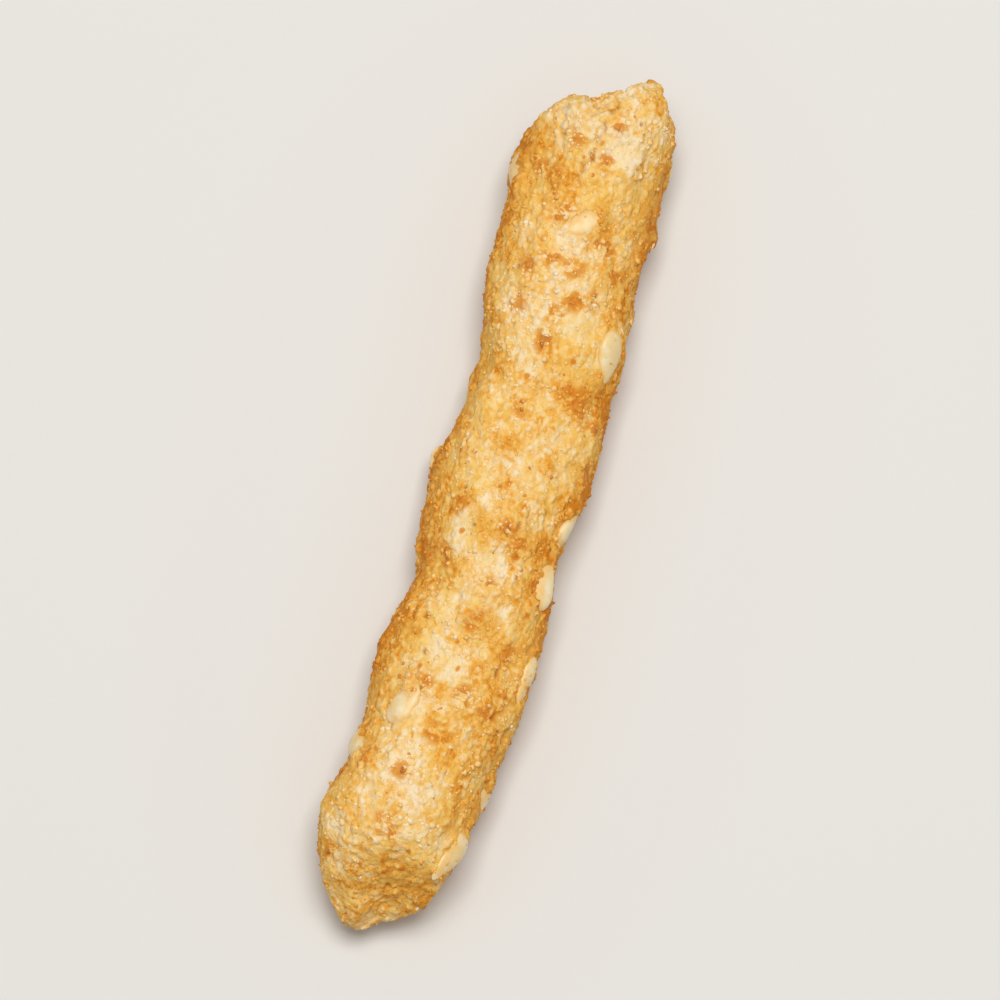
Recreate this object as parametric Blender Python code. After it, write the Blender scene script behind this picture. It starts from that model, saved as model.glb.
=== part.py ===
"""Sesame stick: one whole stick of pressed and fried dough, lying on its side.

The scene is in metres with +Z up. The sizes below are in millimetres, and MM turns them into metres. The stick lies
along X, with its blunt end at -X and the end where it was torn off the press at +X. It rests on z = 0 on a small
flat spot under its middle, where it lay on the tray.
"""

import math

import bmesh
import bpy
from mathutils import Vector, noise

MM = 0.001

# ---- Driving sizes, in millimetres ----

LENGTH = 46.7
SIDES = 44  # faces round the stick
RINGS = 92  # rings from one end to the other, both tips counted

# The stick seen from above: (place along X, how far its middle leans to +Y, width across).
GIRTHS = [
    (-23.4, -0.40, 6.6),
    (-20.0, -0.05, 7.3),
    (-17.3, 0.15, 7.8),
    (-14.6, -0.35, 7.2),
    (-10.7, -0.55, 8.0),
    (-8.2, -0.60, 8.0),
    (-4.7, -0.90, 7.4),
    (-0.9, -0.50, 7.5),
    (1.8, -0.60, 8.1),
    (3.8, -0.85, 7.8),
    (6.8, -0.95, 7.3),
    (10.3, -0.55, 7.8),
    (13.3, -0.30, 7.8),
    (16.3, -0.25, 7.9),
    (19.3, -0.20, 8.1),
    (23.0, -0.10, 8.1),
]

# The stick seen from the side: (place along X, height).
HEIGHTS = [
    (-23.0, 7.3),
    (-15.5, 7.5),
    (-9.5, 7.2),
    (-3.0, 7.5),
    (3.5, 7.1),
    (10.0, 7.5),
    (16.0, 7.3),
    (23.0, 7.6),
]

FLAT_DEPTH = 0.18  # how deep the tray cuts into the round underside
END_LIFT = 0.6  # how far the underside rises at both ends
LIFT_STARTS = 6.0  # distance from the middle where it begins to rise

# Both ends: (length that rounds off, fullness along the stick, fullness across it, rings, slant of the end to +Y).
BLUNT_END = (6.4, 1.9, 2.7, 13, 0.32)
TORN_END = (2.9, 2.6, 3.2, 13, -0.28)

# Uneven skin: (size of the lumps, their height).
LUMPS = [(3.6, 0.24), (1.9, 0.15), (1.1, 0.08)]
UNDERSIDE_LUMPS = 0.35  # how much of it is left where the tray pressed the skin flat

# Flat faces: (a point on the face, the way it faces, the softness of its edge). A knife that leant back sliced the
# blunt end, the tray squared its tip, and two corners are broken off the torn end.
SLICES = [
    ((-20.9, 0.0, 4.6), (-0.82, -0.14, 0.55), 0.6),
    ((-23.2, 1.8, 3.0), (-0.985, -0.17, 0.0), 0.2),
    ((20.6, 3.0, 4.0), (0.62, 0.78, 0.0), 0.2),
    ((22.6, -3.3, 4.0), (0.60, -0.80, 0.0), 0.2),
]
SLICE_ROUGHNESS = 0.25

# The torn end: ridges drawn out lengthwise by the press, cracks, a broken rim, a notch and a hollow face.
RIDGES = 9
RIDGE_HEIGHT = 0.07
RIDGE_LENGTH = 9.0
CRACKS = [(57.0, 0.30, 4.0), (121.0, 0.34, 5.0), (205.0, 0.30, 3.5), (318.0, 0.35, 4.0)]  # turn, depth, length
CRACK_HALF_ANGLE = 10.0
RIM_BREAKS = 1.0
NOTCH = (0.1, 0.60, 1.1)  # (place across, half-width, depth)
NOTCH_LEAN = -0.45  # how far the notch moves across for each millimetre down the torn face
HORN = (-1.7, 0.9, 0.4)  # (place across, half-width, how far it stands out)
HOLLOW = 0.35
FACE_ROUGHNESS = 0.32

# Single bumps and dents: (place along X, turn in degrees, reach along X, height).
BUMPS = [
    (-17.0, 8.0, 1.5, 0.14),
    (-7.4, 0.0, 0.9, -0.16),
    (9.2, 180.0, 1.1, 0.14),
    (2.0, 172.0, 1.3, 0.14),
    (-11.5, 80.0, 2.4, 0.14),
    (5.5, 95.0, 2.6, -0.14),
    (14.0, 60.0, 1.8, 0.12),
]
BUMP_HALF_ANGLE = 28.0

DOUGH = (0.74, 0.43, 0.15, 1.0)


# ---- Smooth curves through the sizes ----


def between_rows(rows, x, column):
    """The value of one column at x, on a smooth curve through the rows (a cubic with Catmull-Rom slopes)."""
    last = len(rows) - 1
    i = max(k for k in range(last) if k == 0 or rows[k][0] <= x)

    def slope(k):
        low, high = rows[max(k - 1, 0)], rows[min(k + 1, last)]
        return (high[column] - low[column]) / (high[0] - low[0])

    start, end = rows[i], rows[i + 1]
    step = end[0] - start[0]
    t = min(max((x - start[0]) / step, 0.0), 1.0)
    rise, fall = 3 * t**2 - 2 * t**3, 2 * t**3 - 3 * t**2 + 1
    return (
        fall * start[column]
        + rise * end[column]
        + step * slope(i) * (t**3 - 2 * t**2 + t)
        + step * slope(i + 1) * (t**3 - t**2)
    )


def smooth_step(low, high, x):
    t = min(max((x - low) / (high - low), 0.0), 1.0)
    return t * t * (3 - 2 * t)


def bell(distance, reach):
    """1 at no distance, falling smoothly to nothing at about twice the reach."""
    return math.exp(-((distance / reach) ** 2))


def turn_apart(first, second):
    """The smaller angle in degrees between two directions round the stick."""
    return abs((first - second + 180.0) % 360.0 - 180.0)


# ---- The rings, from the torn tip to the blunt one ----


def end_ring(number, end):
    """(distance in from the tip, scale of the section) of a ring in a rounded end, counted from the tip."""
    length, along, across, count, _ = end
    scale = math.sin(0.5 * math.pi * number / count)
    return length * (1 - (1 - scale**across) ** (1 / along)), scale


def ring_at(number):
    """(place along X, scale of the section) of a ring, counted from the torn tip."""
    torn, blunt = TORN_END[3], RINGS - BLUNT_END[3]
    if number <= torn:
        inwards, scale = end_ring(number, TORN_END)
        return 0.5 * LENGTH - inwards, scale
    if number >= blunt:
        inwards, scale = end_ring(RINGS - number, BLUNT_END)
        return inwards - 0.5 * LENGTH, scale
    share = (number - torn) / (blunt - torn)
    start, stop = 0.5 * LENGTH - TORN_END[0], BLUNT_END[0] - 0.5 * LENGTH
    return start + share * (stop - start), 1.0


# ---- The section and what is uneven about it ----


def half_sizes(x):
    return 0.5 * between_rows(GIRTHS, x, 2), 0.5 * between_rows(HEIGHTS, x, 1)


def middle(x):
    """The middle of the section at x, with the underside just low enough for the tray to cut it."""
    lift = END_LIFT * smooth_step(LIFT_STARTS, 0.5 * LENGTH, abs(x))
    return Vector((x, between_rows(GIRTHS, x, 1), half_sizes(x)[1] - FLAT_DEPTH + lift))


def skin_height(point, degrees):
    """How far the uneven skin stands out of the plain section, in millimetres."""
    pressed = bell(turn_apart(degrees, 270.0), 40.0)
    lumps = sum(height * noise.noise(point / size) for size, height in LUMPS)
    height = lumps * (1 - (1 - UNDERSIDE_LUMPS) * pressed)
    for place, turn, reach, bump in BUMPS:
        near = bell(point.x - place, reach) * bell(turn_apart(degrees, turn), BUMP_HALF_ANGLE)
        height += bump * near
    return height


def torn_height(x, degrees):
    """Ridges and cracks that run in from the torn end."""
    from_end = 0.5 * LENGTH - x
    wander = 70.0 * noise.noise(Vector((x / 6.0, degrees / 50.0, 0.0)))
    ridges = RIDGE_HEIGHT * math.cos(math.radians(RIDGES * degrees + wander))
    height = ridges * (1 - smooth_step(0.0, RIDGE_LENGTH, from_end))
    for turn, depth, length in CRACKS:
        fade = 1 - smooth_step(0.0, length, from_end)
        height -= depth * fade * bell(turn_apart(degrees, turn), CRACK_HALF_ANGLE)
    return height


def end_shift(x, scale, degrees, across, up):
    """How far a point of either end moves along X: the slant of the end, and the broken face of the torn one.

    The point lies this far across and up from the middle of its section.
    """
    if x < 0:
        slant = -BLUNT_END[4] * across
        return slant * (1 - smooth_step(0.0, BLUNT_END[0], x + 0.5 * LENGTH))
    near = 1 - smooth_step(0.0, 2 * TORN_END[0], 0.5 * LENGTH - x)
    spot = Vector((scale * math.cos(math.radians(degrees)), scale * math.sin(math.radians(degrees)), 0.0))
    breaks = RIM_BREAKS * noise.noise(spot * 1.9 + Vector((4.0, 1.0, 7.0)))
    rough = FACE_ROUGHNESS * noise.noise(spot * 3.4 + Vector((0.0, 9.0, 2.0)))
    hollow = HOLLOW * (1 - smooth_step(0.35, 0.95, scale))
    notch = NOTCH[2] * bell(across - NOTCH[0] + NOTCH_LEAN * (half_sizes(x)[1] - up), NOTCH[1])
    notch *= smooth_step(-1.5, 1.5, up)
    horn = HORN[2] * bell(across - HORN[0], HORN[1])
    return near * (TORN_END[4] * across + breaks + rough + horn - hollow - notch)


def sliced(point):
    """The point after the slices at its own end of the stick, whose edges are soft and whose faces are rough."""
    rough = SLICE_ROUGHNESS * noise.noise(point / LUMPS[-1][0])
    for on_slice, faces, softness in SLICES:
        facing = Vector(faces).normalized()
        beyond = (point - Vector(on_slice)).dot(facing) + rough
        taken = 0.5 * (beyond + math.sqrt(beyond * beyond + softness * softness))
        if taken > 0.01 and point.x * on_slice[0] > 0:
            point = point - facing * taken
    return point


def place_on_stick(on_sphere):
    """Where a point of the unit sphere goes on the stick: its pole axis becomes X, and its rings the sections."""
    number = round(RINGS * math.acos(max(-1.0, min(1.0, on_sphere.z))) / math.pi)
    angle = math.atan2(on_sphere.y, on_sphere.x) if 0 < number < RINGS else 0.0
    degrees = math.degrees(angle) % 360.0
    x, scale = ring_at(number)
    half_width, half_height = half_sizes(x)
    outwards = Vector((0.0, math.cos(angle), math.sin(angle)))
    off_middle = scale * Vector((0.0, half_width * outwards.y, half_height * outwards.z))
    round_point = middle(x) + off_middle
    rim = smooth_step(0.3, 1.0, scale)
    height = scale * skin_height(round_point, degrees) + rim * torn_height(x, degrees)
    point = round_point + height * outwards
    point.x += end_shift(x, scale, degrees, off_middle.y, off_middle.z)
    point = sliced(point)
    point.z = max(point.z, 0.0)
    return point * MM


# ---- The stick itself ----


def dough():
    material = bpy.data.materials.new("fried_dough")
    material.use_nodes = True
    shader = material.node_tree.nodes["Principled BSDF"]
    shader.inputs["Base Color"].default_value = DOUGH
    shader.inputs["Roughness"].default_value = 0.62
    shader.inputs["Metallic"].default_value = 0.0
    material.diffuse_color = DOUGH
    return material


def make_stick():
    """A UV sphere with its poles at the two ends of the stick, drawn out ring by ring."""
    bm = bmesh.new()
    bmesh.ops.create_uvsphere(bm, u_segments=SIDES, v_segments=RINGS, radius=1.0)
    for vertex in bm.verts:
        vertex.co = place_on_stick(vertex.co)
    bm.normal_update()
    mesh = bpy.data.meshes.new("sesame_stick")
    bm.to_mesh(mesh)
    bm.free()
    centre_on_floor(mesh)
    mesh.shade_smooth()
    mesh.materials.append(dough())
    stick = bpy.data.objects.new("sesame_stick", mesh)
    bpy.context.scene.collection.objects.link(stick)
    return stick


def centre_on_floor(mesh):
    """Moves the mesh so that the middle of its box stands over the origin, with its flat spot at z = 0."""
    xs = [vertex.co.x for vertex in mesh.vertices]
    ys = [vertex.co.y for vertex in mesh.vertices]
    shift = Vector((-0.5 * (min(xs) + max(xs)), -0.5 * (min(ys) + max(ys)), 0.0))
    for vertex in mesh.vertices:
        vertex.co += shift


def main():
    for old in list(bpy.data.objects):
        bpy.data.objects.remove(old, do_unlink=True)
    stick = make_stick()
    size = [1000 * side for side in stick.dimensions]
    flat = sum(f.area for f in stick.data.polygons if all(stick.data.vertices[v].co.z < 1e-9 for v in f.vertices))
    print("sesame_stick: %.2f x %.2f x %.2f mm" % tuple(size), "flat spot %.1f mm2" % (flat * 1e6))


main()
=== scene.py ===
# %% [markdown]
# # A sesame stick
#
# This lesson dresses one fried sesame stick: a finger of pressed dough, 46 mm long, with hulled sesame
# seeds in its skin. The solid under it is made already, with its true size, bow and ends. What is left is
# everything the eye reads as food: a skin of fine blisters and pores, seeds that sit in it or lie just
# under it, thousands of stuck crumbs, flakes of bran, salt, and the colours of hot oil on flour. Lengths
# are written in millimetres and multiplied by `MM`, because the scene is in metres.

import math
import random

import bpy
import numpy as np
from mathutils import Matrix, Vector


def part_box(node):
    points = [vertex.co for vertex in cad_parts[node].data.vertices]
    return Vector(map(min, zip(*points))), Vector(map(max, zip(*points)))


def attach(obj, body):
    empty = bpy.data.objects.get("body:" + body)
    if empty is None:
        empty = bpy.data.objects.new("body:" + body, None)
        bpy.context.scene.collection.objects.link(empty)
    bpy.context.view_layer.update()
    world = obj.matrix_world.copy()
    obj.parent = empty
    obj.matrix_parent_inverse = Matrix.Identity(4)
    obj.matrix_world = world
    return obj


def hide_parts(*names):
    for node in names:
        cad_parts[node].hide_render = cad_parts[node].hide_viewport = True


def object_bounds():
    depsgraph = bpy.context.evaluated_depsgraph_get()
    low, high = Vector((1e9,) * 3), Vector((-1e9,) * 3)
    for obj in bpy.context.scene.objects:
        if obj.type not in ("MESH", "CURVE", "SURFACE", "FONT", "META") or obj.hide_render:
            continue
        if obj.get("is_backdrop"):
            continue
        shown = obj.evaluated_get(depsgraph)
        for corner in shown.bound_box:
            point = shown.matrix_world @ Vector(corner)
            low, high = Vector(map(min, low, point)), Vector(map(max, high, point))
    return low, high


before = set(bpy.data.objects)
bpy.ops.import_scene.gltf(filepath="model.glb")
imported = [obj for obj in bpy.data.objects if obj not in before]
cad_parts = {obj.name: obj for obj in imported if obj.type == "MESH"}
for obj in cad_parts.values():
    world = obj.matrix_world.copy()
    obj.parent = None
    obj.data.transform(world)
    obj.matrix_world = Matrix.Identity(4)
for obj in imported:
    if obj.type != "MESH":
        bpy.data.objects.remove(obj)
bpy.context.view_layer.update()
MM = 0.001
stick_low, stick_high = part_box("sesame_stick")
print("solid stick: %.1f x %.1f x %.1f mm" % tuple((stick_high - stick_low) / MM))

# %% [markdown]
# ## Small tools
#
# Two kinds of tool are needed again and again. The first kind handles objects: it selects one, applies its
# modifiers as a click in the modifier list would, reads its vertices, or numbers them in a fixed order. The
# second kind writes node trees as formulas: `Wire` stands for one output of a node, and arithmetic on it
# adds Math nodes, while `Tree.node` adds any other node. The same two classes serve the modelling nodes
# that raise the skin and the shading nodes that colour it.


# %% Selecting and applying
def only(piece):
    """Selects this object alone and makes it active."""
    bpy.ops.object.select_all(action="DESELECT")
    piece.select_set(True)
    bpy.context.view_layer.objects.active = piece
    return piece


def apply_all(piece):
    """Applies every modifier of a piece, from the first to the last."""
    only(piece)
    for modifier in list(piece.modifiers):
        bpy.ops.object.modifier_apply(modifier=modifier.name)
    return piece


def corners(piece):
    """The vertices of a piece as an array of places."""
    found = np.empty(len(piece.data.vertices) * 3, np.float32)
    piece.data.vertices.foreach_get("co", found)
    return found.reshape(-1, 3)


def in_order(piece):
    """Numbers the vertices and faces of a small shape by their places.

    Blender may number them otherwise in each run, and then the random draws for the crumbs would also fall
    otherwise.
    """
    places = sorted(tuple(vertex.co) for vertex in piece.data.vertices)
    number = {place: index for index, place in enumerate(places)}
    faces = []
    for face in piece.data.polygons:
        numbers = [number[tuple(piece.data.vertices[corner].co)] for corner in face.vertices]
        first = numbers.index(min(numbers))
        faces.append(numbers[first:] + numbers[:first])
    piece.data.clear_geometry()
    piece.data.from_pydata(places, [], sorted(faces))


# %% Formulas for node trees
class Wire:
    """One output of a node. Arithmetic on wires adds Math nodes to their tree."""

    def __init__(self, socket):
        self.socket = socket

    def __getitem__(self, output):
        """Another output of the same node."""
        return Wire(self.socket.node.outputs[output])

    def math(self, operation, *values):
        tree = Tree(self.socket.id_data)
        return tree.node("ShaderNodeMath", {"operation": operation}, dict(enumerate(values)))

    def __add__(self, other):
        return self.math("ADD", self, other)

    def __sub__(self, other):
        return self.math("SUBTRACT", self, other)

    def __rsub__(self, other):
        return self.math("SUBTRACT", other, self)

    def __mul__(self, other):
        return self.math("MULTIPLY", self, other)

    __radd__ = __add__
    __rmul__ = __mul__

    def most(self, other):
        return self.math("MAXIMUM", self, other)

    def least(self, other):
        return self.math("MINIMUM", self, other)

    def between(self, low, high, start=0.0, end=1.0):
        """A smooth step: start below low, end above high."""
        sockets = {"Value": self, "From Min": low, "From Max": high, "To Min": start, "To Max": end}
        settings = {"interpolation_type": "SMOOTHSTEP"}
        return Tree(self.socket.id_data).node("ShaderNodeMapRange", settings, sockets)


class Tree:
    """A node tree that is being written."""

    def __init__(self, nodes):
        self.nodes = nodes

    def node(self, kind, settings=None, sockets=None, output=0):
        """Adds a node: its settings come first, then its sockets by name or number, as values or wires."""
        made = self.nodes.nodes.new(kind)
        for name, value in (settings or {}).items():
            if name == "stops":
                self.set_stops(made.color_ramp, value)
            else:
                setattr(made, name, value)
        for key, value in (sockets or {}).items():
            socket = made.inputs[key] if isinstance(key, int) else self.open_socket(made, key)
            if isinstance(value, Wire):
                self.nodes.links.new(value.socket, socket)
            else:
                socket.default_value = value
        return Wire(made.outputs[output])

    @staticmethod
    def open_socket(made, name):
        return next(s for s in made.inputs if s.name == name and s.enabled)

    @staticmethod
    def set_stops(ramp, stops):
        while len(ramp.elements) < len(stops):
            ramp.elements.new(1.0)
        for element, (place, colour) in zip(ramp.elements, stops):
            element.position = place
            element.color = colour

    def stretched(self, place, scale):
        """The place with each axis multiplied by its own number."""
        return self.node("ShaderNodeVectorMath", {"operation": "MULTIPLY"}, {0: place, 1: scale})

    def noise(self, place, size, detail=2.0, roughness=0.5):
        """Cloudy noise from 0 to 1, with features about as large as size."""
        sockets = {"Vector": place, "Scale": 1 / size, "Detail": detail, "Roughness": roughness}
        return self.node("ShaderNodeTexNoise", {}, sockets)

    def cells(self, place, size):
        """Voronoi cells about this large: the distance to a cell's middle, and a random Color for each."""
        return self.node("ShaderNodeTexVoronoi", {}, {"Vector": place, "Scale": 1 / size}, "Distance")

    def part(self, vector, number):
        """One number of a vector or a colour: 0, 1 or 2."""
        return self.node("ShaderNodeSeparateXYZ", {}, {0: vector}, number)

    def mix(self, factor, first, second):
        """Two colours mixed by a factor."""
        sockets = {"Factor": factor, "A": first, "B": second}
        return self.node("ShaderNodeMix", {"data_type": "RGBA"}, sockets, "Result")


# %% [markdown]
# ## The dough
#
# The body starts as a copy of the solid, so its length, bow and ends are right. Its triangles are far too
# large for blisters of a third of a millimetre. They could be subdivided, but the ends would get crowded
# and the sides stay coarse, so the copy is rounded by subdivision and then remeshed into even squares of
# about an eighth of a millimetre, small enough to hold the grain as real shape.

# %% Dough: copy, merge and remesh
VOXEL = 0.124 * MM
bpy.ops.object.select_all(action="DESELECT")
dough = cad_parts["sesame_stick"].copy()
dough.data = dough.data.copy()
dough.name = dough.data.name = "dough"
dough.data.materials.clear()
bpy.context.scene.collection.objects.link(dough)
only(dough)
bpy.ops.object.mode_set(mode="EDIT")
bpy.ops.mesh.select_all(action="SELECT")
bpy.ops.mesh.remove_doubles(threshold=0.001 * MM)
bpy.ops.mesh.tris_convert_to_quads(face_threshold=math.radians(60), shape_threshold=math.radians(60))
bpy.ops.object.mode_set(mode="OBJECT")
print("merged copy:", len(dough.data.vertices), "vertices,", len(dough.data.polygons), "faces")

rounding = dough.modifiers.new("rounding", "SUBSURF")
rounding.levels = rounding.render_levels = 2
even = dough.modifiers.new("even squares", "REMESH")
even.mode = "VOXEL"
even.voxel_size = VOXEL
calm = dough.modifiers.new("calm", "SMOOTH")
calm.factor = 0.5
calm.iterations = 3
apply_all(dough)
print("remeshed dough:", len(dough.data.polygons), "squares")

# %% [markdown]
# ## Sesame seeds
#
# A hulled sesame seed is a flat drop, 3 mm long, 1.6 mm wide and under 1 mm thick: round at one end,
# pointed at the other. One seed is modelled from a sphere with its poles at the two ends, flattened in edit
# mode, tapered to its point, and made slightly uneven. All the others are copies of it, each with its own
# size, lean and tone.

# %% One seed
SEED_SIZE = Vector((3.05, 1.50, 0.86)) * MM
bpy.ops.object.select_all(action="DESELECT")
lying = (0, math.radians(90), 0)
bpy.ops.mesh.primitive_uv_sphere_add(segments=28, ring_count=20, radius=0.5, rotation=lying)
seed = bpy.context.object
seed.name = "seed"
bpy.ops.object.transform_apply(location=False, rotation=True, scale=False)
bpy.ops.object.mode_set(mode="EDIT")
bpy.ops.mesh.select_all(action="SELECT")
bpy.ops.transform.resize(value=SEED_SIZE, center_override=(0, 0, 0))
bpy.ops.object.mode_set(mode="OBJECT")
in_order(seed)
taper = seed.modifiers.new("point", "SIMPLE_DEFORM")
taper.deform_method = "TAPER"
taper.deform_axis = "X"
taper.factor = -0.8
unevenness = bpy.data.textures.new("seed unevenness", "CLOUDS")
unevenness.noise_scale = 0.8 * MM
uneven = seed.modifiers.new("uneven", "DISPLACE")
uneven.texture = unevenness
uneven.strength = 0.11 * MM
apply_all(seed)
bpy.ops.object.shade_smooth()
print("seed: %.2f x %.2f x %.2f mm" % tuple(seed.dimensions / MM), len(seed.data.polygons), "faces")

# %% [markdown]
# The seeds were stirred into the dough before it was pressed, so most lie flat in the skin and point
# roughly along the stick. Some stand half out of it, some are flush, and many lie just under it and only
# show as a pale swelling. The seeds on the upper side are listed one by one. The rest are strewn by a seeded
# random draw that keeps them apart and off the surface the stick rests on, and takes the two sides in turn.
# A ray from outside finds the skin, and its normal tells the seed how to lie.


# %% Places on the skin
HALF_SLICE = 0.5 * MM  # the middle is that of a slice this thick to either side
RAY_START = 20 * MM  # well outside the stick


def middle_at(x):
    """The middle of the dough at a place along it, in metres."""
    places = corners(dough)
    return places[np.abs(places[:, 0] - x) < HALF_SLICE].mean(axis=0)


def on_skin(x, turn):
    """(place, normal) on the dough at x, looking in from a turn in degrees: 0 is +Y, 90 is the top."""
    outwards = Vector((0.0, math.cos(math.radians(turn)), math.sin(math.radians(turn))))
    start = Vector(middle_at(x)) + RAY_START * outwards
    _, place, normal, _ = dough.ray_cast(start, -outwards)
    return place, normal


def standing(normal, heading):
    """The rotation of a thing that lies flat on the skin, its X turned by heading off the stick."""
    along = Vector((1, 0, 0))
    along = (along - normal * along.dot(normal)).normalized()
    across = normal.cross(along)
    turned = math.cos(heading) * along + math.sin(heading) * across
    side = normal.cross(turned)
    return Matrix((turned, side, normal)).transposed().to_4x4()


# Chosen seeds: (place along the stick in mm, turn in degrees, heading in degrees, how far it stands out of
# the skin, from 0 to 1).
CHOSEN_SEEDS = [
    (8.2, 146.0, 12.0, 0.44),
    (-4.0, 152.0, 4.0, 0.33),
    (-12.2, 60.0, -20.0, 0.31),
    (14.2, 94.0, -50.0, 0.17),
]
# Seeds under the skin of the upper side, in the same form.
CHOSEN_SUNK = [
    (-2.6, 60.0, 4.0, 0.22),
    (4.2, 46.0, 10.0, 0.30),
    (18.0, 126.0, -6.0, 0.26),
    (20.6, 62.0, 24.0, 0.24),
    (9.8, 118.0, -12.0, 0.18),
    (1.2, 108.0, 34.0, 0.16),
    (-7.0, 122.0, 12.0, 0.20),
    (-9.8, 92.0, -36.0, 0.14),
    (-16.4, 88.0, 64.0, 0.18),
    (-18.6, 20.0, 30.0, 0.24),
]

draw = random.Random(46)
LEAST_HEIGHT = 1.1 * MM  # no seed is drawn lower than this over the surface the stick rests on
LEAST_GAP = 2.9 * MM
SEEDED_SPAN = 20.5  # in mm to either side of the middle
NEAR_SIDE = 150.0, 270.0  # turns from low on one side to the bottom
TO_FAR_SIDE = 120.0
HEADING_SPREAD = 28.0  # in degrees


def strewn(count, stands_out, taken):
    """Places for this many seeds, clear of those taken, in the form of the lists above.

    The chosen seeds fill the upper side, so these turns run from one side under the stick to the other.
    """
    rows = []
    while len(rows) < count:
        x = draw.uniform(-SEEDED_SPAN, SEEDED_SPAN)
        turn = draw.uniform(*NEAR_SIDE) + TO_FAR_SIDE * (len(rows) % 2)
        place, _ = on_skin(x * MM, turn)
        clear = all((place - other).length > LEAST_GAP for other in taken)
        if clear and place.z > LEAST_HEIGHT:
            taken.append(place)
            rows.append((x, turn, draw.gauss(0, HEADING_SPREAD), draw.uniform(*stands_out)))
    return rows


taken = [on_skin(x * MM, turn)[0] for x, turn, _, _ in CHOSEN_SEEDS + CHOSEN_SUNK]
shown_rows = CHOSEN_SEEDS + strewn(12, (0.16, 0.33), taken)
sunk_rows = CHOSEN_SUNK + strewn(9, (0.15, 0.25), taken)
print(len(shown_rows), "seeds in the skin,", len(sunk_rows), "under it")


# %% Copies of the seed
NOD_SPREAD, ROLL_SPREAD = 2.0, 7.0  # in degrees, end over end and side to side


def set_tone(piece, value):
    """Gives every point of a piece the same tone, for its material to read."""
    attribute = piece.data.attributes.new("tone", "FLOAT", "POINT")
    attribute.data.foreach_set("value", [value] * len(piece.data.vertices))


def laid(pattern, row, sizes):
    """A copy of the pattern with its own mesh, laid at a row's place with uneven sizes."""
    x, turn, heading, stands_out = row
    place, normal = on_skin(x * MM, turn)
    nod = Matrix.Rotation(math.radians(draw.gauss(0, NOD_SPREAD)), 4, "Y")
    roll = Matrix.Rotation(math.radians(draw.gauss(0, ROLL_SPREAD)), 4, "X")
    grown = [draw.uniform(*sizes) for _ in range(3)]
    flip = math.pi * draw.randint(0, 1)
    scale = Matrix.Diagonal((*grown, 1.0))
    thickness = pattern.dimensions.z * grown[2]
    centre = place + normal * (stands_out - 0.5) * thickness
    copy = pattern.copy()
    copy.data = pattern.data.copy()
    bpy.context.scene.collection.objects.link(copy)
    turned = standing(normal, math.radians(heading) + flip)
    copy.data.transform(Matrix.Translation(centre) @ turned @ nod @ roll @ scale)
    set_tone(copy, draw.random())
    return copy


def joined(copies, name):
    """One object made of all the copies."""
    bpy.ops.object.select_all(action="DESELECT")
    for copy in copies:
        copy.select_set(True)
    bpy.context.view_layer.objects.active = copies[0]
    bpy.ops.object.join()
    copies[0].name = copies[0].data.name = name
    return copies[0]


seeds = joined([laid(seed, row, (0.88, 1.08)) for row in shown_rows], "sesame_seeds")
sunk = joined([laid(seed, row, (0.90, 1.08)) for row in sunk_rows], "seeds_under_skin")
print("sesame_seeds:", len(seeds.data.polygons), "faces; under the skin:", len(sunk.data.polygons))

# %% [markdown]
# ## The skin
#
# Hot oil boils the water out of the dough, so its skin is a field of tiny blisters with pores between them
# and drag lines from the press. It could be sculpted, or faked with a bump in the material, but a close
# view shows the outline, and a bump has none. So modelling nodes move the real vertices along their
# normals: each kind of unevenness is one line of a formula, in millimetres. The same nodes drape the skin
# over the sunk seeds, by casting a ray outwards from each vertex to find the seed above it, swell it a
# little where a seed stands out, and sharpen the two ends. What they measured is kept on the vertices, and
# the material reads it later.

# %% Helpers for modelling nodes
def node_group(name):
    """An empty group of modelling nodes with one geometry going in and one coming out."""
    group = bpy.data.node_groups.new(name, "GeometryNodeTree")
    group.interface.new_socket("Geometry", in_out="INPUT", socket_type="NodeSocketGeometry")
    group.interface.new_socket("Geometry", in_out="OUTPUT", socket_type="NodeSocketGeometry")
    return group


def stored(tree, shape, name, field, kind="FLOAT"):
    """The shape with a field kept on its vertices under a name."""
    sockets = {"Geometry": shape, "Name": name, "Value": field}
    return tree.node("GeometryNodeStoreNamedAttribute", {"data_type": kind, "domain": "POINT"}, sockets)


def keep_fields(tree, shape, fields):
    """Stores each field on the vertices under its name, closes the group, and gives it back."""
    for name, field in fields.items():
        shape = stored(tree, shape, name, field)
    output = tree.nodes.nodes.new("NodeGroupOutput")
    tree.nodes.links.new(shape.socket, output.inputs[0])
    return tree.nodes


def shape_of(tree, piece):
    return tree.node("GeometryNodeObjectInfo", {"transform_space": "ORIGINAL"}, {"Object": piece}, "Geometry")


def blurred(tree, field, times):
    sockets = {"Value": field, "Iterations": times}
    return tree.node("GeometryNodeBlurAttribute", {"data_type": "FLOAT"}, sockets)


def far_from(place, x, turn):
    """How far a place is from a point on the skin, in millimetres."""
    sockets = {0: place, 1: on_skin(x * MM, turn)[0] / MM}
    tree = Tree(place.socket.id_data)
    return tree.node("ShaderNodeVectorMath", {"operation": "DISTANCE"}, sockets, "Value")


def band(wire, middle, inner, outer):
    """1 within inner of the middle, falling smoothly to 0 at outer."""
    off = wire - middle
    return off.math("ABSOLUTE", off).between(inner, outer, 1.0, 0.0)
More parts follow.
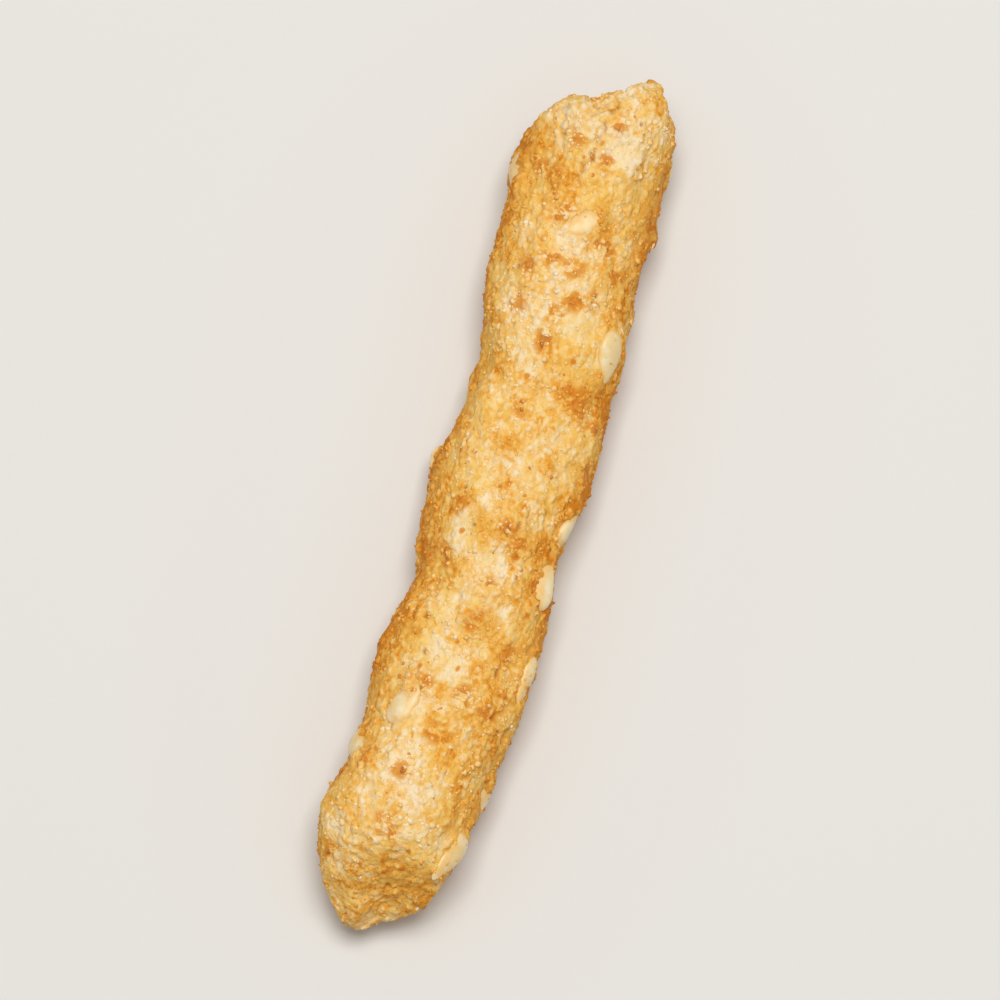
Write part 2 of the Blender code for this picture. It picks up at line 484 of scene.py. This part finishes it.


# %% [markdown]
# The finest unevenness is a sandy grain of tiny domes, drawn out along the stick and stronger in some
# patches. The relief needs it as height and the material needs it as colour, in the same places, so one
# function writes it into either kind of tree. As colour it makes the tops of the domes paler, a painted
# highlight.


# %% Sandy grain
def sand(tree, place):
    """The sandy grain at a place in millimetres, for the relief and for the colour.

    Gives the place with a wandering added and drawn out along the stick, how sandy the skin is there, the
    rise of the blister from 0 to 1, and a random number for each blister.
    """
    cloud = tree.noise(place, 0.7, 2.0)["Color"]
    drawn_out = tree.stretched(place, (0.85, 1.0, 1.0))
    sockets = {0: cloud, 1: (0.35,) * 3, 2: drawn_out}
    wander = tree.node("ShaderNodeVectorMath", {"operation": "MULTIPLY_ADD"}, sockets)
    sandy = tree.noise(place, 3.0, 1.5).between(0.38, 0.60, 0.72, 1.12)
    blister = tree.cells(wander, 0.33)
    dome = (1 - blister * blister * 1.7).most(0.0)
    return wander, sandy, dome, tree.part(blister["Color"], 0)


def blister_height(dome, chance):
    """How high a blister stands, in millimetres: its random number makes it higher or lower."""
    return dome * (chance * 0.09 + 0.01)


# %% [markdown]
# The relief starts with the largest shapes: swellings left by the press, blisters here and there, a pale
# knob on the torn end with a notch beside it, and the sharp corner of the sliced end.

# %% Relief: swellings and the two ends
relief = Tree(node_group("skin relief"))
shape = relief.node("NodeGroupInput")
position = relief.node("GeometryNodeInputPosition")
normal = relief.node("GeometryNodeInputNormal")
place = relief.stretched(position, (1 / MM,) * 3)
along, across, up = (relief.part(place, axis) for axis in range(3))
torn = along.between(16.5, 22.5)
cut = (along * -1).between(17.5, 21.5)

wander, sandy, dome, chance = sand(relief, place)

# Swellings of a millimetre or two, and large bubbles here and there.
swell = relief.noise(place, 1.7, 1.5) - 0.5
bubble = relief.cells(wander, 1.6)
raised = relief.part(bubble["Color"], 1).between(0.55, 0.75)
bubbles = raised * bubble.between(0.08, 0.55, 1.0, 0.0)

# The knob rises. The notch beside it and the corner of the sliced end are moves along the stick.
knob = far_from(wander, 20.6, 66.0).between(0.3, 1.6, 1.0, 0.0)
notch = band(across, 0.3, 0.1, 1.5) * along.between(19.5, 22.2) * up.between(1.5, 4.0)
corner = band(across, 1.2, 0.2, 1.4) * (along * -1).between(20.5, 22.6)
print("large shapes:", len(relief.nodes.nodes), "nodes")

# %% [markdown]
# Then come the fine ones: the sandy domes with roughness over all, pores where a bubble burst, and the drag
# lines of the press. At the torn end these lines open into cracks, one of them long.

# %% Relief: grain, pores and cracks
ROUGHNESS = 0.24  # in millimetres
rough = (relief.noise(place, 0.42, 3.0, 0.65) - 0.5) * ROUGHNESS
fine = blister_height(dome, chance) + rough

# Pores: a few cells of a wider field are pierced, and one deep pore is placed by hand.
pore = relief.cells(wander, 1.25)
pierced = relief.part(pore["Color"], 0).between(0.66, 0.70)
pores = pierced * pore.between(0.07, 0.19, 1.0, 0.0)
# Pores: a few cells of a wider field are pierced, and one deep pore is given by its place.
deep_pore = far_from(place, -12.3, 163.0).between(0.15, 0.55, 1.0, 0.0)

# Drag lines run along the stick.
lines = relief.noise(relief.stretched(place, (0.09, 1.0, 1.0)), 0.8, 2.0) - 0.5
crack = relief.noise(relief.stretched(place, (0.30, 1.0, 1.0)), 1.2, 2.0, 0.6) - 0.5
cracks = crack.math("ABSOLUTE", crack).between(0.0, 0.04, 1.0, 0.0) * torn * 0.35

# The long crack starts at the torn end, at this place across the stick, and slants and strays from there.
CRACK_START, CRACK_SLANT = -0.35, -0.13  # in mm, and in mm across for each mm along
straying = (relief.noise(relief.stretched(place, (0.8, 0.0, 0.0)), 1.0, 2.0) - 0.5) * 2.2
off_crack = across - (along - 22.0) * CRACK_SLANT - CRACK_START - straying
off_crack = off_crack.math("ABSOLUTE", off_crack)
gaps = relief.noise(relief.stretched(place, (1.0, 0.0, 0.0)), 1.3, 1.0).between(0.42, 0.52)
long_crack = off_crack.between(0.03, 0.15, 1.0, 0.0) * along.between(15.5, 18.0) * up.between(4.5, 5.5) * gaps
cracks = cracks.most(long_crack)
print("with grain, pores and cracks:", len(relief.nodes.nodes), "nodes")

# %% [markdown]
# The skin is drawn over the sunk seeds and stands up as a soft, uneven rim round the others. With
# everything added, the vertices move, but none goes below the surface that the stick rests on.

# %% Relief: skin at the seeds
DEEPEST_SEED = 0.7 * MM  # a seed further out than this from the skin isn't draped
sockets = {
    "Target Geometry": shape_of(relief, sunk),
    "Source Position": position,
    "Ray Direction": normal,
    "Ray Length": DEEPEST_SEED,
}
hit = relief.node("GeometryNodeRaycast", {}, sockets, "Is Hit")
draped = blurred(relief, hit * hit["Hit Distance"] * (1 / MM), 10)
over_seed = blurred(relief, hit, 16)
sockets = {0: shape_of(relief, seeds), "Sample Position": position}
gap = relief.node("GeometryNodeProximity", {"target_element": "FACES"}, sockets, "Distance") * (1 / MM)
rim = gap.between(0.05, 0.55, 1.0, 0.0) * relief.noise(place, 0.7, 2.0).between(0.35, 0.65, 0.0, 0.20)
print("with the seeds:", len(relief.nodes.nodes), "nodes")

# %% Relief: all terms together
SUNK = 0.08  # most of these terms only rise, so the whole skin starts a little lower
height = (  # in millimetres
    swell * 0.42
    + bubbles * 0.12
    + knob * 0.26
    + fine * sandy * (1 - over_seed * 0.4) * (1 + torn * 0.3)
    - pores * 0.17
    - deep_pore * 0.45
    + lines * 0.09
    - cracks * 0.22
    + draped * 0.9
    + rim
    - SUNK
)
steps = relief.node("ShaderNodeCombineXYZ", {}, {axis: height * MM for axis in range(3)})
sockets = {0: normal, 1: steps, 2: position}
moved = relief.node("ShaderNodeVectorMath", {"operation": "MULTIPLY_ADD"}, sockets)
pulled = relief.part(moved, 0) - (notch * 0.40 + corner * 0.55) * MM
above_floor = {0: pulled, 1: relief.part(moved, 1), 2: relief.part(moved, 2).most(0.0)}
settled = relief.node("ShaderNodeCombineXYZ", {}, above_floor)

# Where the skin was before it moved is kept in millimetres, and so is what the relief measured.
shape = stored(relief, shape, "first_place", place, "FLOAT_VECTOR")
shape = relief.node("GeometryNodeSetPosition", {}, {"Geometry": shape, "Position": settled})
measured = {
    "grain": (fine * 5.0).least(1.0).most(0.0),
    "pit": pores.most(cracks).most(deep_pore),
    "over_seed": over_seed,
    "knob": knob,
    "cut": cut,
}
dough.modifiers.new("skin relief", "NODES").node_group = keep_fields(relief, shape, measured)
apply_all(dough)
bpy.ops.object.shade_smooth()
print("dough:", len(dough.data.polygons), "faces, box %.2f x %.2f x %.2f mm" % tuple(dough.dimensions / MM))


def range_of(piece, name):
    """Lowest, mean and highest value of an attribute."""
    values = np.empty(len(piece.data.vertices), np.float32)
    piece.data.attributes[name].data.foreach_get("value", values)
    return "%s %.2f %.2f %.2f" % (name, values.min(), values.mean(), values.max())


print("; ".join(range_of(dough, name) for name in measured))

# %% How near each point of a seed is to the dough
burial = Tree(node_group("burial"))
shape = burial.node("NodeGroupInput")
sockets = {0: shape_of(burial, dough)}
clearance = burial.node("GeometryNodeProximity", {"target_element": "FACES"}, sockets, "Distance") * (1 / MM)
seeds.modifiers.new("burial", "NODES").node_group = keep_fields(burial, shape, {"clearance": clearance})
apply_all(seeds)
print(range_of(seeds, "clearance"))

# %% [markdown]
# ## Bran, crumbs and salt
#
# Flakes of toasted bran are pressed into the skin, crumbs of dough fried on to it, and a little salt sticks
# to the oil. All are far smaller than the seeds, so each kind is one small shape of a few dozen faces, laid
# again and again with its own size, turn and tone. The flakes and the salt are few, so they are laid as the
# seeds were. The crumbs are thousands, so modelling nodes scatter them over the skin and the seeds, thinner
# in some patches than in others, and then turn every copy into real faces that a print or another program
# can use.


# %% Places for small things
DRESSED_SPAN = 22.0  # in mm to either side of the middle


def strewn_all_round(count, stands_out, least_height):
    """Places for this many small things anywhere on the skin that is at least so high."""
    rows = []
    while len(rows) < count:
        x, turn = draw.uniform(-DRESSED_SPAN, DRESSED_SPAN), draw.uniform(0.0, 360.0)
        place, _ = on_skin(x * MM, turn)
        if place is not None and place.z > least_height:
            rows.append((x, turn, draw.uniform(0, 180), draw.uniform(*stands_out)))
    return rows


def made_uneven(piece, size, strength):
    """Moves the points of a small piece every way, by up to about half the strength."""
    clouds = bpy.data.textures.new(piece.name + " unevenness", "CLOUDS")
    clouds.noise_scale = size
    uneven = piece.modifiers.new("uneven", "DISPLACE")
    uneven.texture = clouds
    uneven.direction = "RGB_TO_XYZ"
    uneven.strength = strength


# %% Bran flakes
# Flakes chosen for the upper side, in the form of the seed lists.
CHOSEN_BRAN = [
    (11.9, 98.0, 80.0, 0.1),
    (11.7, 60.0, 20.0, 0.2),
    (13.5, 123.0, 60.0, 0.1),
    (16.8, 50.0, 30.0, 0.0),
    (17.8, 105.0, 10.0, 0.3),
    (19.8, 106.0, 4.0, 0.2),
    (10.3, 104.0, 100.0, 0.2),
    (10.7, 122.0, 150.0, 0.2),
    (9.5, 57.0, 30.0, 0.0),
    (4.3, 79.0, 20.0, 0.3),
    (5.5, 117.0, 35.0, 0.0),
    (2.1, 160.0, 10.0, 0.4),
    (-2.6, 115.0, 50.0, 0.1),
    (-4.2, 54.0, 15.0, 0.2),
    (-11.7, 132.0, 60.0, 0.2),
    (-11.2, 105.0, 20.0, 0.1),
    (-15.8, 82.0, 60.0, 0.3),
    (-19.0, 94.0, 40.0, 0.1),
    (14.6, 78.0, 150.0, 0.1),
]
FLAKE_LENGTH, FLAKE_WIDTH, FLAKE_THICKNESS = 0.60 * MM, 0.38 * MM, 0.07 * MM
bpy.ops.object.select_all(action="DESELECT")
bpy.ops.mesh.primitive_circle_add(vertices=10, radius=0.5, fill_type="NGON")
flake = bpy.context.object
flake.name = "flake"
bpy.ops.object.mode_set(mode="EDIT")
bpy.ops.mesh.select_all(action="SELECT")
bpy.ops.transform.resize(value=(FLAKE_LENGTH, FLAKE_WIDTH, 1), center_override=(0, 0, 0))
bpy.ops.mesh.extrude_region_move(TRANSFORM_OT_translate={"value": (0, 0, FLAKE_THICKNESS)})
bpy.ops.mesh.select_all(action="SELECT")
bpy.ops.transform.translate(value=(0, 0, -FLAKE_THICKNESS / 2))
bpy.ops.mesh.normals_make_consistent(inside=False)
bpy.ops.mesh.select_all(action="DESELECT")
bpy.ops.object.mode_set(mode="OBJECT")
in_order(flake)
made_uneven(flake, 0.2 * MM, 0.34 * MM)
bevel = flake.modifiers.new("worn edge", "BEVEL")
bevel.width = 0.02 * MM
bevel.segments = 1
apply_all(flake)
bpy.ops.object.shade_smooth()
bran_rows = CHOSEN_BRAN + strewn_all_round(60, (-0.2, 0.3), 0.3 * MM)
bran = joined([laid(flake, row, (0.6, 1.2)) for row in bran_rows], "bran_flakes")
print("flake:", len(flake.data.polygons), "faces; bran_flakes:", len(bran.data.polygons))

# %% Crumbs: one grain
bpy.ops.object.select_all(action="DESELECT")
bpy.ops.mesh.primitive_ico_sphere_add(subdivisions=1, radius=0.5 * MM)
crumb = bpy.context.object
crumb.name = "crumb"
made_uneven(crumb, 0.3 * MM, 0.5 * MM)
apply_all(crumb)
bpy.ops.object.shade_smooth()

# %% Crumbs: where they lie
GRAINS_PER_MM2 = 7.6
FINEST, LARGEST = 0.13, 0.36  # in millimetres
scatter = Tree(node_group("scattered crumbs"))
shape = scatter.node("NodeGroupInput")
place = scatter.stretched(scatter.node("GeometryNodeInputPosition"), (1 / MM,) * 3)
clear_of_floor = scatter.part(place, 2).between(0.25, 0.35)
over_seed, knob, clearance = (
    scatter.node("GeometryNodeInputNamedAttribute", {"data_type": "FLOAT"}, {"Name": name})
    for name in ("over_seed", "knob", "clearance")  # the seeds alone have a clearance
)
patchy = scatter.noise(place, 2.2, 1.5).between(0.35, 0.62, 0.6, 1.25)
on_seed = clearance.between(0.0, 0.02)
density = patchy * clear_of_floor * (1 - over_seed * 0.5) * (1 - knob * 0.3) * (1 - on_seed * 0.75)
density = density * (GRAINS_PER_MM2 / MM**2)

# On the seeds, crumbs lie only where the surface faces away from the middle line of the stick.
outwards = scatter.stretched(scatter.node("GeometryNodeInputPosition"), (0.0, 1.0, 1.0))
middle_line = (0, 0, 4 * MM)
outwards = scatter.node("ShaderNodeVectorMath", {"operation": "SUBTRACT"}, {0: outwards, 1: middle_line})
outwards = scatter.node("ShaderNodeVectorMath", {"operation": "NORMALIZE"}, {0: outwards})
facing = {0: scatter.node("GeometryNodeInputNormal"), 1: outwards}
facing = scatter.node("ShaderNodeVectorMath", {"operation": "DOT_PRODUCT"}, facing, "Value")
density = density * (facing.between(0.5, 0.6) * on_seed + 1 - on_seed)
skin_and_seeds = scatter.nodes.nodes.new("GeometryNodeJoinGeometry")
for part in (shape, shape_of(scatter, seeds)):
    scatter.nodes.links.new(part.socket, skin_and_seeds.inputs[0])
sockets = {"Mesh": Wire(skin_and_seeds.outputs[0]), "Density": density, "Seed": 46}
points = scatter.node("GeometryNodeDistributePointsOnFaces", {}, sockets, "Points")
normal = points["Normal"]


# %% Crumbs: each with its own size, depth and turn
def drawn(tree, seed):
    """A random number from 0 to 1 for each point."""
    sockets = {"Min": 0.0, "Max": 1.0, "Seed": seed}
    return tree.node("FunctionNodeRandomValue", {"data_type": "FLOAT"}, sockets, 1)


size = drawn(scatter, 1)
size = size * size * size * (LARGEST - FINEST) + FINEST
inwards = size * (drawn(scatter, 5) * -0.30 - 0.06) * MM
inwards = scatter.node("ShaderNodeVectorMath", {"operation": "SCALE"}, {0: normal, "Scale": inwards})
sockets = {"Max": (math.tau,) * 3, "Seed": 2}
turns = scatter.node("FunctionNodeRandomValue", {"data_type": "FLOAT_VECTOR"}, sockets)
sides = {0: size * (drawn(scatter, 3) * 0.9 + 0.8), 1: size, 2: size * (drawn(scatter, 6) * 0.5 + 0.5)}
sides = scatter.node("ShaderNodeCombineXYZ", {}, sides)
points = stored(scatter, points, "tone", drawn(scatter, 4))
points = scatter.node("GeometryNodeSetPosition", {}, {"Geometry": points, "Offset": inwards})
sockets = {"Points": points, "Instance": shape_of(scatter, crumb), "Rotation": turns, "Scale": sides}
grains = scatter.node("GeometryNodeInstanceOnPoints", {}, sockets)
grains = scatter.node("GeometryNodeRealizeInstances", {}, {"Geometry": grains})

# The object starts as a copy of the skin, and the nodes put the crumbs in its place.
crumbs = bpy.data.objects.new("crumbs", dough.data.copy())
crumbs.data.name = "crumbs"
bpy.context.scene.collection.objects.link(crumbs)
crumbs.modifiers.new("scattered crumbs", "NODES").node_group = keep_fields(scatter, grains, {})
apply_all(crumbs)
print("crumb:", len(crumb.data.polygons), "faces; crumbs:", len(crumbs.data.polygons))

# %% Salt grains
bpy.ops.object.select_all(action="DESELECT")
bpy.ops.mesh.primitive_cube_add(size=0.17 * MM)
grain = bpy.context.object
grain.name = "grain"
bevel = grain.modifiers.new("rounded corners", "BEVEL")
bevel.width = 0.04 * MM
bevel.segments = 1
apply_all(grain)
salt_rows = strewn_all_round(18, (0.1, 0.4), 0.4 * MM)
salt = joined([laid(grain, row, (0.5, 1.2)) for row in salt_rows], "salt_grains")
print("grain:", len(grain.data.polygons), "faces; salt_grains:", len(salt.data.polygons))

# %% [markdown]
# Hot oil browns the dough most where a flake of bran holds it, so each flake has a rusty halo. A second
# group of modelling nodes measures how near each vertex of the skin is to bran, and keeps that for the
# material too.

# %% Halo round the bran
halo = Tree(node_group("halo"))
shape = halo.node("NodeGroupInput")
sockets = {0: shape_of(halo, bran)}
near = halo.node("GeometryNodeProximity", {"target_element": "FACES"}, sockets, "Distance") * (1 / MM)
near_bran = near.between(0.0, 0.65, 1.0, 0.0)
dough.modifiers.new("halo", "NODES").node_group = keep_fields(halo, shape, {"near_bran": near_bran})
apply_all(dough)
print(range_of(dough, "near_bran"))

for tool in (seed, sunk, flake, crumb, grain):
    bpy.data.objects.remove(tool)

# %% [markdown]
# ## Colour of the crust
#
# A fried crust isn't one colour: it goes cream in some places and amber in others, and rusty round the
# bran. Besides, the tops of the blisters are painted paler, a painted highlight, so the gaps between them
# look amber, and the lower sides of the stick are painted darker, a painted shade. It could be painted with
# many masks one over another, but then no one number sets how toasted it is. Here one number, the toast, is
# added up from clouds of four sizes, from how low the skin lies on the stick (the painted shade), and from
# what the relief measured (with the painted highlight on the blister tops), and a ramp turns it into colour.
# Along the ramp the red changes least and the blue most, as in food that browns. Only the honey flecks, the
# pale knob, the stains at the bran and the pores have colours of their own; the dark brown of the pores and
# cracks is a painted shade.


# %% Material helpers
def material(name):
    """A new material, its tree, and the sockets of its Principled shader."""
    made = bpy.data.materials.new(name)
    made.use_nodes = True
    shader = made.node_tree.nodes["Principled BSDF"]
    return made, Tree(made.node_tree), shader.inputs


def feed(tree, socket, wire):
    tree.nodes.links.new(wire.socket, socket)


def kept(tree, name, output="Fac"):
    """A number or vector that was kept on the vertices."""
    return tree.node("ShaderNodeAttribute", {"attribute_name": name}, {}, output)


def in_mm(tree):
    """The place on the piece, in millimetres."""
    return tree.stretched(tree.node("ShaderNodeTexCoord", {}, {}, "Object"), (1 / MM,) * 3)


def ramp(tree, wire, stops):
    return tree.node("ShaderNodeValToRGB", {"stops": stops}, {0: wire})


def bump(tree, surface, height, depth, strength):
    """Feeds the Normal socket with a bump of this depth in millimetres."""
    sockets = {"Strength": strength, "Distance": depth * MM, "Height": height}
    feed(tree, surface["Normal"], tree.node("ShaderNodeBump", {}, sockets))


# %% Crust
TOAST = [
    (0.00, (0.89, 0.715, 0.45, 1)),
    (0.25, (0.87, 0.60, 0.27, 1)),
    (0.50, (0.84, 0.475, 0.115, 1)),
    (0.75, (0.78, 0.345, 0.040, 1)),
    (1.00, (0.62, 0.205, 0.013, 1)),
]
BASE_TOAST = 0.30  # before the clouds and the painted shade on the flanks change it
HONEY = (0.88, 0.575, 0.13, 1)
KNOB_CREAM = (0.90, 0.67, 0.27, 1)
RUSTY = (0.60, 0.165, 0.018, 1)
# Pores and cracks: a dark brown that is painted shade.
PIT_PAINTED_SHADE = (0.36, 0.12, 0.015, 1)


def toast_with_flank_shade(tree, first_place, wander):
    """How toasted the crust is, from clouds of four sizes, plus painted shade where it lies low on the stick.
    """
    clouds = (
        (tree.noise(first_place, 3.6, 1.0) - 0.5) * 0.90
        + (tree.noise(first_place, 1.7, 1.0) - 0.5) * 0.90
        + (tree.noise(wander, 0.80, 2.0, 0.6) - 0.5) * 0.85
        + (tree.noise(wander, 0.34, 2.0, 0.7) - 0.5) * 0.85
    )
    # Painted shade: the lower sides of the stick are made more toasted, so darker, standing for shade.
    painted_flank_shade = tree.part(first_place, 2).between(8.0, 4.2)
    return BASE_TOAST + clouds + painted_flank_shade * 0.56


# %% Crust: what the toast is made of
crust, tree, surface = material("fried_crust")
first_place = kept(tree, "first_place", "Vector")
wander, sandy, dome, chance = sand(tree, first_place)
painted_grain_highlight, pit, over_seed, knob, cut, near_bran = (
    kept(tree, name) for name in ("grain", "pit", "over_seed", "knob", "cut", "near_bran")
)
speckle = tree.cells(wander, 0.24)
speckled = (tree.part(speckle["Color"], 1) - 0.5) * 0.34
toast_with_painted_light = toast_with_flank_shade(tree, first_place, wander) + speckled + 0.08
# Painted highlight: the tops of the higher blisters and of the grain are made paler.
toast_with_painted_light = toast_with_painted_light - dome.between(0.30, 1.0) * chance * 0.24 - painted_grain_highlight * 0.08
toast_with_painted_light = toast_with_painted_light - over_seed * 0.20 - cut * 0.28
print("toast of the crust:", len(tree.nodes.nodes), "nodes")

# %% Crust: stains, honey flecks, painted shade in pores and cracks, and finish
speck = tree.cells(wander, 0.90)
specks = tree.part(speck["Color"], 2).between(0.72, 0.76) * speck.between(0.08, 0.24, 1.0, 0.0)
smeared = tree.noise(tree.stretched(wander, (1.5, 0.8, 1.0)), 0.60, 3.0, 0.65).between(0.42, 0.56)
stain = (near_bran * smeared).most(specks)
colour = ramp(tree, toast_with_painted_light * (1 - stain * 0.6) + stain * 0.6, TOAST)
honey = tree.noise(wander, 0.75, 3.0, 0.6).between(0.48, 0.62) * 0.38
colour = tree.mix((sandy.between(0.92, 0.72) * 0.35).most(honey) * (1 - stain), colour, HONEY)
colour = tree.mix(knob * 0.7, colour, KNOB_CREAM)
colour = tree.mix(stain * 0.55, colour, RUSTY)
# Painted shade: the pores and cracks are coloured dark brown.
colour = tree.mix(pit * 0.75, colour, PIT_PAINTED_SHADE)
feed(tree, surface["Base Color"], colour)
feed(tree, surface["Roughness"], tree.noise(wander, 0.5, 2.0).between(0.3, 0.7, 0.56, 0.80))
texture = blister_height(dome, chance) + tree.noise(first_place, 0.16, 3.0, 0.65) * 0.12
bump(tree, surface, texture, 1.0, 0.65)
surface["Specular IOR Level"].default_value = 0.10
surface["Subsurface Weight"].default_value = 0.12
surface["Subsurface Radius"].default_value = (1.0, 0.40, 0.12)
surface["Subsurface Scale"].default_value = 0.4 * MM
print("whole crust:", len(tree.nodes.nodes), "nodes")

# %% [markdown]
# The crumbs take the same toast as the skin round them, with its painted shade on the lower sides, each a
# little lighter or darker. Hulled seeds stay ivory, are browned where the dough holds them, and let a little
# light through. Bran is dark and dull, and salt is pale.

# %% Crumb
stuck_crumb, tree, surface = material("stuck_crumb")
place = in_mm(tree)
tone = kept(tree, "tone")
toast_with_painted_light = toast_with_flank_shade(tree, place, place) + (tone - 0.5) * 0.38 - 0.08
colour = ramp(tree, toast_with_painted_light, TOAST)
colour = tree.mix(tone.between(0.96, 0.98) * 0.7, colour, RUSTY)
feed(tree, surface["Base Color"], colour)
feed(tree, surface["Roughness"], tree.noise(place, 0.3, 2.0).between(0.3, 0.7, 0.58, 0.80))
bump(tree, surface, tree.noise(place, 0.12, 2.0), 0.04, 0.6)
surface["Specular IOR Level"].default_value = 0.10
print("crumb:", len(tree.nodes.nodes), "nodes")

# %% Seed
SEED_IVORY = (0.84, 0.70, 0.41, 1)
SEED_OLD_IVORY = (0.81, 0.61, 0.28, 1)
SEED_CREAM = (0.87, 0.80, 0.60, 1)
seed_coat, tree, surface = material("seed_coat")
place = in_mm(tree)
colour = tree.mix(kept(tree, "tone"), SEED_IVORY, SEED_OLD_IVORY)
colour = tree.mix(tree.noise(place, 0.8, 2.0).between(0.42, 0.68) * 0.6, colour, SEED_CREAM)
patchy = tree.noise(place, 0.45, 3.0, 0.6)
colour = tree.mix(patchy.between(0.46, 0.66) * 0.5, colour, TOAST[1][1])
fried_edge = (kept(tree, "clearance") + (patchy - 0.5) * 0.4).between(0.0, 0.24, 0.8, 0.0)
colour = tree.mix(fried_edge, colour, TOAST[2][1])
feed(tree, surface["Base Color"], colour)
feed(tree, surface["Roughness"], tree.noise(place, 0.4, 2.0).between(0.3, 0.7, 0.34, 0.5))
bump(tree, surface, tree.noise(place, 0.25, 3.0), 0.05, 0.5)
surface["Subsurface Weight"].default_value = 0.25
surface["Subsurface Radius"].default_value = (0.9, 0.75, 0.45)
surface["Subsurface Scale"].default_value = 0.5 * MM
print("seed:", len(tree.nodes.nodes), "nodes")

# %% Bran and salt
BRAN_DARK = (0.45, 0.13, 0.015, 1)
BRAN_LIGHT = (0.70, 0.28, 0.04, 1)
SALT_WHITE = (0.94, 0.86, 0.70, 1)
SALT_OILY = (0.86, 0.72, 0.46, 1)
bran_skin, tree, surface = material("bran_skin")
place = in_mm(tree)
colour = tree.mix(kept(tree, "tone"), BRAN_DARK, BRAN_LIGHT)
colour = tree.mix(tree.noise(place, 0.2, 2.0).between(0.45, 0.7) * 0.5, colour, TOAST[3][1])
feed(tree, surface["Base Color"], colour)
feed(tree, surface["Roughness"], tree.noise(place, 0.2, 2.0).between(0.3, 0.7, 0.5, 0.7))
bump(tree, surface, tree.noise(place, 0.1, 2.0), 0.03, 0.5)

salt_crystal, tree, surface = material("salt_crystal")
place = in_mm(tree)
colour = tree.mix(kept(tree, "tone"), SALT_WHITE, SALT_OILY)
colour = tree.mix(tree.noise(place, 0.1, 2.0) * 0.3, colour, SEED_IVORY)
feed(tree, surface["Base Color"], colour)
feed(tree, surface["Roughness"], tree.noise(place, 0.1, 2.0).between(0.3, 0.7, 0.25, 0.45))
print("salt:", len(tree.nodes.nodes), "nodes")

# %% [markdown]
# The dough takes the place of the solid, and the other pieces lie on it. All of them ride on the one body.

# %% What each piece is to the frame
COATS = [
    (dough, crust, "crust"),
    (seeds, seed_coat, "sesame_seed"),
    (crumbs, stuck_crumb, "crust"),
    (bran, bran_skin, "bran"),
    (salt, salt_crystal, "salt"),
]
for piece, coat, slot in COATS:
    piece.data.materials.clear()
    piece.data.materials.append(coat)
    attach(piece, "root")
    triangles = sum(len(face.vertices) - 2 for face in piece.data.polygons)
    print(piece.name, triangles, "triangles")
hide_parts("sesame_stick")

# %% [markdown]
# ## Floor, light and camera
#
# The stick lies on a pale board under one soft lamp, seen nearly from above. The sky has the board's colour
# at its horizon, so that the board has no edge in low views.

# %% Floor
bpy.ops.object.select_all(action="DESELECT")
bpy.ops.mesh.primitive_plane_add(size=3.0, location=(0, 0, -0.01 * MM))  # just clear of the stick
floor = bpy.context.object
floor.name = "floor"
board, tree, surface = material("pale_board")
BOARD_COLOUR = (0.72, 0.70, 0.66, 1)
surface["Base Color"].default_value = BOARD_COLOUR
surface["Roughness"].default_value = 0.8
surface["Specular IOR Level"].default_value = 0.0
floor.data.materials.append(board)
floor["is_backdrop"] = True

# %% Light
scene = bpy.context.scene
scene.view_settings.view_transform = "Standard"
VIEW_HEADING = math.radians(74)  # from +Y to the direction that points up in the main view
UP_IN_VIEW = Vector((math.sin(VIEW_HEADING), math.cos(VIEW_HEADING), 0))
LEFT_IN_VIEW = Vector((-UP_IN_VIEW.y, UP_IN_VIEW.x, 0))

world = bpy.data.worlds.new("studio")
world.use_nodes = True
scene.world = world
tree = Tree(world.node_tree)
background = world.node_tree.nodes["Background"].inputs
direction = tree.node("ShaderNodeTexCoord", {}, {}, "Generated")
over_horizon = tree.part(direction, 2).between(0.03, 0.30)
feed(tree, background["Color"], tree.mix(over_horizon, BOARD_COLOUR, (1.0, 1.0, 1.0, 1)))
background["Strength"].default_value = 0.38

soft_box = bpy.data.lights.new("soft box", "AREA")
soft_box.energy = 2.00
soft_box.size = 0.22
lamp = bpy.data.objects.new("soft box", soft_box)
lamp.location = 0.06 * UP_IN_VIEW - 0.02 * LEFT_IN_VIEW + Vector((0, 0, 0.50))
lamp.rotation_euler = (-lamp.location).to_track_quat("-Z", "Y").to_euler()
scene.collection.objects.link(lamp)
print("lamp: %.2f W, %.2f m wide" % (soft_box.energy, soft_box.size))

# %% Camera
ELEVATION = math.radians(80)
DISTANCE = 0.5
FRAME_WIDTH = 52 * MM
camera_data = bpy.data.cameras.new("camera")
camera = bpy.data.objects.new("camera", camera_data)
scene.collection.objects.link(camera)
scene.camera = camera
new_low, new_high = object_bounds()
target = (new_low + new_high) / 2
back = -UP_IN_VIEW * math.cos(ELEVATION) + Vector((0, 0, math.sin(ELEVATION)))
camera.location = target + DISTANCE * back
camera.rotation_euler = (-back).to_track_quat("-Z", "Y").to_euler()
camera_data.lens = camera_data.sensor_width * DISTANCE / FRAME_WIDTH
camera_data.clip_start, camera_data.clip_end = 0.01, 10
print("camera: lens %.0f mm, %.2f m away" % (camera_data.lens, DISTANCE))

# %% Sizes, and the end
print("dressed box", [round(v / MM, 2) for v in new_high - new_low])
